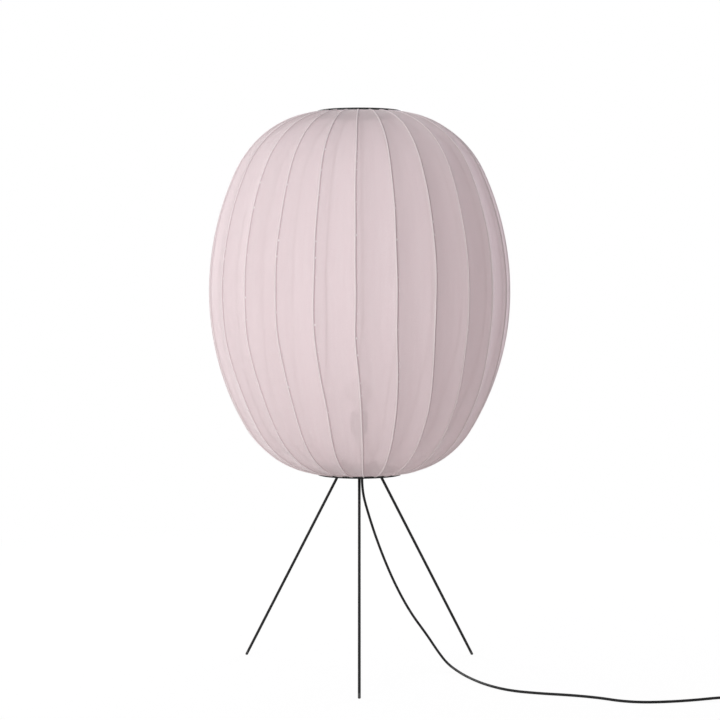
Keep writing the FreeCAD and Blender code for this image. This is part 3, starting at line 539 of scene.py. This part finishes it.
yarn = {
    "colour": (0.925, 0.846, 0.862),
    "deep": (0.89, 0.80, 0.82),
    "pale": (0.95, 0.885, 0.897),
    "paleShare": 0.15,
    # painted shade: a dark line along the seam just after each rib, standing in for the shadow beside the raised
    # channel, partly the denser stitched join
    "seamShade": (0.55, 0.35, 0.41),
    "seamShadeShare": 0.8,
    "inside": (0.92, 0.80, 0.825),  # tint of light on its way through
    "walesPerPanel": 58.0,
    "course": 0.0012,
    "slubStretch": 0.03,
    "slubScale": 0.9,
    "slubDetail": 3.0,
    "slubRange": (0.25, 0.75),
    "slubHeight": 0.5,
    "patchesPerPanel": 9.0,
    "patchesPerMetre": 6.0,
    "patchDetail": 2.0,
    "patchRange": (0.35, 0.65),
    "patchShare": 0.9,
    # painted highlight: the tuck specks are paler than the yarn to stand in for light caught by their raised loops
    "tuckGlint": (0.99, 0.965, 0.97),
    "tuckEvery": 0.013,
    "tucksAcross": 14.0,
    "tuckStrip": (0.042, 0.022),  # middle and half width of the strip after a rib that has tucks
    "tuckSize": 0.19,
    "tuckHeight": 1.5,
    "bump": 0.35,
    "depth": 0.0004,
    "roughness": (0.78, 0.95),
    "specular": 0.2,
    "fuzz": 1.0,
    "fuzzRoughness": 0.35,
    "through": 0.24,  # share of light that each face of the knit passes on
    "throughRods": 0.17,
    "veil": 0.32,  # least share that each face lets straight through
    "gapRange": (0.42, 0.58),
}


# one knit stitch: rounded columns of V shapes, and the small gaps between them
def makeStitch():
    group, given, made = newGroup("knitStitch", [("Across", "NodeSocketFloat"), ("Along", "NodeSocketFloat")],
                                  ["Height", "Gap"])
    fold = calc(group, "PINGPONG", given.outputs["Across"], 0.5)  # 0 at the edge of a column, 0.5 in its middle
    slanted = calc(group, "ADD", given.outputs["Along"], fold)
    wave = calc(group, "SINE", calc(group, "MULTIPLY", slanted, 2 * math.pi))
    loop = calc(group, "MULTIPLY_ADD", wave, 0.5, 0.5)
    column = calc(group, "SINE", calc(group, "MULTIPLY", fold, math.pi))
    height = calc(group, "MULTIPLY", column, calc(group, "MULTIPLY_ADD", loop, 0.5, 0.5))
    opened = calc(group, "MULTIPLY", calc(group, "SUBTRACT", 1.0, column), calc(group, "SUBTRACT", 1.0, loop))
    group.links.new(height, made.inputs["Height"])
    group.links.new(opened, made.inputs["Gap"])
    return group


knitStitch = makeStitch()


def makeYarn(spec):
    material, tree = newMaterial("knittedYarn")
    channel, seamShade = [put(tree, "ShaderNodeAttribute", attribute_name=name).outputs["Fac"]
                     for name in ("channel", "seamShade")]
    mapped = put(tree, "ShaderNodeUVMap", uv_map="knitMap").outputs["UV"]
    split = put(tree, "ShaderNodeSeparateXYZ", {0: mapped}).outputs
    panels, metres = split["X"], split["Y"]  # panels round the shade, metres along the ribs
    across = calc(tree, "MULTIPLY", panels, spec["walesPerPanel"])
    along = calc(tree, "DIVIDE", metres, spec["course"])
    stitch = useGroup(tree, knitStitch, {"Across": across, "Along": along})
    # slubs run along the columns, patches over several of them
    slubPlace = flatPlace(tree, across, calc(tree, "MULTIPLY", along, spec["slubStretch"]))
    slub = noise(tree, slubPlace, spec["slubScale"], spec["slubDetail"])
    patchPlace = flatPlace(tree, calc(tree, "MULTIPLY", panels, spec["patchesPerPanel"]),
                           calc(tree, "MULTIPLY", metres, spec["patchesPerMetre"]))
    patch = noise(tree, patchPlace, 1.0, spec["patchDetail"])
    # tuck stitches that hold the channel shut, at uneven steps beside each rib; raised by bump and painted paler
    # as a highlight for the light their loops catch
    beside = calc(tree, "COMPARE", calc(tree, "FRACT", panels), *spec["tuckStrip"])
    tuckPlace = flatPlace(tree, calc(tree, "MULTIPLY", panels, spec["tucksAcross"]),
                          calc(tree, "DIVIDE", metres, spec["tuckEvery"]))
    tuckGlint = put(tree, "ShaderNodeTexVoronoi", {"Vector": tuckPlace, "Scale": 1.0, "Randomness": 1.0})
    drawn = calc(tree, "LESS_THAN", tuckGlint.outputs["Distance"], spec["tuckSize"])
    speckAndGlint = calc(tree, "MULTIPLY", drawn, beside)
    # colour, from the yarn's own tones to what is laid over them
    tone = spread(tree, slub, 0.0, 1.0, *spec["slubRange"])
    even = spread(tree, patch, 0.0, spec["patchShare"], *spec["patchRange"])
    colour = mixColour(tree, tone, spec["deep"], spec["colour"])
    colour = mixColour(tree, even, colour, spec["colour"])
    colour = mixColour(tree, calc(tree, "MULTIPLY", channel, spec["paleShare"]), colour, spec["pale"])
    # painted shade along the seam on one side of each rib
    colour = mixColour(tree, calc(tree, "MULTIPLY", seamShade, spec["seamShadeShare"]), colour, spec["seamShade"])
    colour = mixColour(tree, speckAndGlint, colour, spec["tuckGlint"])
    height = calc(tree, "MULTIPLY_ADD", speckAndGlint, spec["tuckHeight"], stitch["Height"])
    height = calc(tree, "MULTIPLY_ADD", slub, spec["slubHeight"], height)
    bump = put(tree, "ShaderNodeBump", {"Height": height, "Strength": spec["bump"], "Distance": spec["depth"]})
    cloth = put(tree, "ShaderNodeBsdfPrincipled", {
        "Base Color": colour, "Roughness": spread(tree, slub, *spec["roughness"]),
        "Normal": bump.outputs["Normal"], "Specular IOR Level": spec["specular"],
        "Sheen Weight": spec["fuzz"], "Sheen Roughness": spec["fuzzRoughness"]})
    tinted = mixColour(tree, 1.0, colour, spec["inside"], "MULTIPLY")
    glow = put(tree, "ShaderNodeBsdfTranslucent", {"Color": tinted, "Normal": bump.outputs["Normal"]})
    # the doubled knit of a channel passes less light and has no gaps
    passed = spread(tree, channel, spec["through"], spec["throughRods"])
    woven = put(tree, "ShaderNodeMixShader", {0: passed, 1: cloth.outputs[0], 2: glow.outputs[0]})
    hole = spread(tree, stitch["Gap"], 0.0, 1.0, *spec["gapRange"])
    single = calc(tree, "SUBTRACT", 1.0, calc(tree, "MAXIMUM", channel, seamShade))
    gap = calc(tree, "MULTIPLY", calc(tree, "MAXIMUM", hole, spec["veil"]), single)
    clear = put(tree, "ShaderNodeBsdfTransparent")
    holed = put(tree, "ShaderNodeMixShader", {0: gap, 1: woven.outputs[0], 2: clear.outputs[0]})
    put(tree, "ShaderNodeOutputMaterial", {"Surface": holed.outputs[0]})
    return material


coverObject = makeCover(knit, shade)
coverObject.data.materials.append(makeYarn(yarn))
print("cover knitted:", len(coverObject.data.polygons), "faces")

# finishes of the metal, plastic and ceramic pieces
powderBlack = {"colour": (0.012, 0.012, 0.0125), "other": (0.014, 0.014, 0.0145), "roughness": (0.42, 0.52),
               "grain": 0.0007, "bump": 0.15, "depth": 0.0002, "sockets": {"Specular IOR Level": 0.16}}
finish("powderBlack", powderBlack, ["base_plate", "top_plate", "leg_front", "leg_right", "leg_left",
                                    "leg_boss_front", "leg_boss_right", "leg_boss_left"])

mouldedNylon = {"colour": (0.018, 0.018, 0.018), "other": (0.026, 0.026, 0.027), "roughness": (0.45, 0.65),
                "grain": 0.0006, "bump": 0.45, "depth": 0.0002}
finish("mouldedNylon", mouldedNylon, ["upper_rib_ring", "lower_rib_ring", "foot_tip_front", "foot_tip_right",
                                      "foot_tip_left", "holder_cap", "holder_body", "cord_grommet"])

blackOxide = {"colour": (0.045, 0.045, 0.047), "other": (0.075, 0.073, 0.070), "roughness": (0.35, 0.55),
              "grain": 0.0004, "bump": 0.3, "depth": 0.0001, "metallic": 1.0}
finish("blackOxide", blackOxide, ["upper_ring_screws", "lower_ring_screws", "leg_set_screws"])

zincPlate = {"colour": (0.50, 0.51, 0.51), "other": (0.62, 0.60, 0.55), "roughness": (0.24, 0.42),
             "grain": 0.0012, "bump": 0.2, "depth": 0.0002, "metallic": 1.0, "lines": (40, 900, 900)}
finish("zincPlate", zincPlate, ["holder_bracket", "bracket_screws", "holder_nipple", "nipple_nut",
                                "switch_screws"])

glazedCeramic = {"colour": (0.80, 0.79, 0.76), "other": (0.74, 0.73, 0.69), "roughness": (0.12, 0.22),
                 "grain": 0.003, "bump": 0.15, "depth": 0.0002, "sockets": {"Coat Weight": 0.4}}
finish("glazedCeramic", glazedCeramic, ["contact_carrier"])

brightBrass = {"colour": (0.72, 0.50, 0.20), "other": (0.62, 0.41, 0.15), "roughness": (0.18, 0.34),
               "grain": 0.0009, "bump": 0.2, "depth": 0.0001, "metallic": 1.0, "lines": (60, 60, 1500)}
finish("brightBrass", brightBrass, ["screw_shell", "centre_contact"])
print("frame and lampholder finished")

blackGlass = {"colour": (0.016, 0.016, 0.017), "other": (0.022, 0.021, 0.021), "roughness": (0.08, 0.18),
              "grain": 0.002, "bump": 0.1, "depth": 0.0001}
finish("blackGlass", blackGlass, ["bulb_contact"])

rolledThread = {"colour": (0.74, 0.74, 0.75), "other": (0.66, 0.66, 0.66), "roughness": (0.22, 0.36),
                "grain": 0.0008, "bump": 0.5, "depth": 0.0005, "metallic": 1.0, "thread": 0.0036}
finish("rolledThread", rolledThread, ["bulb_base"])

satinWhite = {"colour": (0.80, 0.80, 0.79), "other": (0.77, 0.77, 0.75), "roughness": (0.3, 0.42),
              "grain": 0.0008, "bump": 0.15, "depth": 0.0001}
finish("satinWhite", satinWhite, ["bulb_housing"])

opal = {"colour": (0.86, 0.86, 0.85), "other": (0.88, 0.88, 0.87), "roughness": (0.3, 0.4), "grain": 0.0012,
        "bump": 0.08, "depth": 0.0001, "sockets": {"Coat Weight": 0.15}}
finish("opal", opal, ["bulb_globe"])
print("bulb finished")

switchShell = {"colour": (0.017, 0.017, 0.017), "other": (0.023, 0.023, 0.024), "roughness": (0.42, 0.6),
               "grain": 0.0005, "bump": 0.5, "depth": 0.0002}
finish("switchShell", switchShell, ["switch_base", "switch_cover", "switch_module"])

polishedPush = {"colour": (0.018, 0.018, 0.019), "other": (0.024, 0.024, 0.024), "roughness": (0.1, 0.24),
                "grain": 0.0015, "bump": 0.08, "depth": 0.0001, "sockets": {"Coat Weight": 0.3}}
finish("polishedPush", polishedPush, ["switch_button"])

softMould = {"colour": (0.015, 0.015, 0.015), "other": (0.022, 0.022, 0.022), "roughness": (0.5, 0.7),
             "grain": 0.0007, "bump": 0.35, "depth": 0.0002}
finish("softMould", softMould, ["switch_sleeves", "plug_sleeve", "plug_body"])

nickelPin = {"colour": (0.70, 0.68, 0.62), "other": (0.62, 0.59, 0.52), "roughness": (0.12, 0.28), "grain": 0.0008,
             "bump": 0.15, "depth": 0.0001, "metallic": 1.0, "lines": (60, 1500, 1500)}
finish("nickelPin", nickelPin, ["plug_pins"])

wovenTie = {"colour": (0.018, 0.018, 0.018), "other": (0.032, 0.032, 0.033), "roughness": (0.75, 0.95),
            "grain": 0.0007, "bump": 0.8, "depth": 0.0003, "sockets": {"Sheen Weight": 0.3}}
finish("wovenTie", wovenTie, ["cord_tie"])
print("switch, plug and tie finished")

# floor and backdrop: white to the camera, with the object's own soft shadow
stage = {
    "size": 60.0,
    "colour": (0.66, 0.635, 0.61, 1),  # of the light that the floor throws back
    "white": (1, 1, 1, 1),
    "shadowColour": (0.97, 0.97, 0.97, 1),
    "shadowShare": 0.07,
    "clearFrom": 0.9,
    "clearTo": 2.2,
    "ambient": 0.42,
}


def seenDirectly(tree):
    # light that cloth passes on counts as diffuse too, so it takes the floor's plain colour
    path = put(tree, "ShaderNodeLightPath").outputs
    throughGlass = calc(tree, "SUBTRACT", path["Is Transmission Ray"], path["Is Diffuse Ray"])
    straight = calc(tree, "MAXIMUM", path["Is Camera Ray"], path["Is Glossy Ray"])
    return calc(tree, "MAXIMUM", straight, throughGlass)


def makeFloor(spec):
    bpy.ops.mesh.primitive_plane_add(size=spec["size"], location=(0, 0, 0))
    floor = bpy.context.object
    floor.name = "studioFloor"
    material, tree = newMaterial("studioFloor")
    place = put(tree, "ShaderNodeTexCoord").outputs["Object"]
    far = put(tree, "ShaderNodeVectorMath", {0: place}, operation="LENGTH").outputs["Value"]
    share = spread(tree, far, spec["shadowShare"], 0.0, spec["clearFrom"], spec["clearTo"])
    matt = put(tree, "ShaderNodeBsdfDiffuse", {"Color": spec["colour"]})
    shaded = put(tree, "ShaderNodeBsdfDiffuse", {"Color": spec["shadowColour"]})
    white = put(tree, "ShaderNodeEmission", {"Color": spec["white"], "Strength": 1.0})
    pale = put(tree, "ShaderNodeMixShader", {0: share, 1: white.outputs[0], 2: shaded.outputs[0]})
    shown = put(tree, "ShaderNodeMixShader", {0: seenDirectly(tree), 1: matt.outputs[0], 2: pale.outputs[0]})
    put(tree, "ShaderNodeOutputMaterial", {"Surface": shown.outputs[0]})
    floor.data.materials.append(material)


def makeWorld(spec):
    world = bpy.data.worlds.new("studioWhite")
    world.use_nodes = True
    tree = world.node_tree
    tree.nodes.clear()
    strength = spread(tree, seenDirectly(tree), spec["ambient"], 1.0)
    sky = put(tree, "ShaderNodeBackground", {"Color": spec["white"], "Strength": strength})
    put(tree, "ShaderNodeOutputWorld", {"Surface": sky.outputs[0]})
    bpy.context.scene.world = world


makeFloor(stage)
makeWorld(stage)

# soft boxes turned to the middle of the shade: one at the front left, one on each side from behind
lampAim = (0, 0, 0.8)
lamps = {
    "keyBox": {"place": (-2.3, -3.51, 1.8), "size": 2.0, "power": 107.0, "tint": (1, 1, 1)},
    "leftBox": {"place": (-3.17, 2.76, 1.8), "size": 1.6, "power": 112.0, "tint": (1, 1, 1)},
    "rightBox": {"place": (2.5, 3.37, 2.1), "size": 1.6, "power": 122.0, "tint": (0.95, 0.88, 1)},
}


def hangLamp(name, spec, aim):
    bpy.ops.object.light_add(type="AREA", location=spec["place"])
    lamp = bpy.context.object
    lamp.name = name
    lamp.data.size = spec["size"]
    lamp.data.energy = spec["power"]
    lamp.data.color = spec["tint"]
    lamp.visible_camera = False
    toAim = [a - b for a, b in zip(aim, spec["place"])]
    flatLength = math.hypot(toAim[0], toAim[1])
    lamp.rotation_euler = (math.atan2(flatLength, -toAim[2]), 0, math.atan2(-toAim[0], toAim[1]))


for lampName, lampSpec in lamps.items():
    hangLamp(lampName, lampSpec, lampAim)
bpy.context.scene.view_settings.view_transform = "Standard"
print("studio lit")
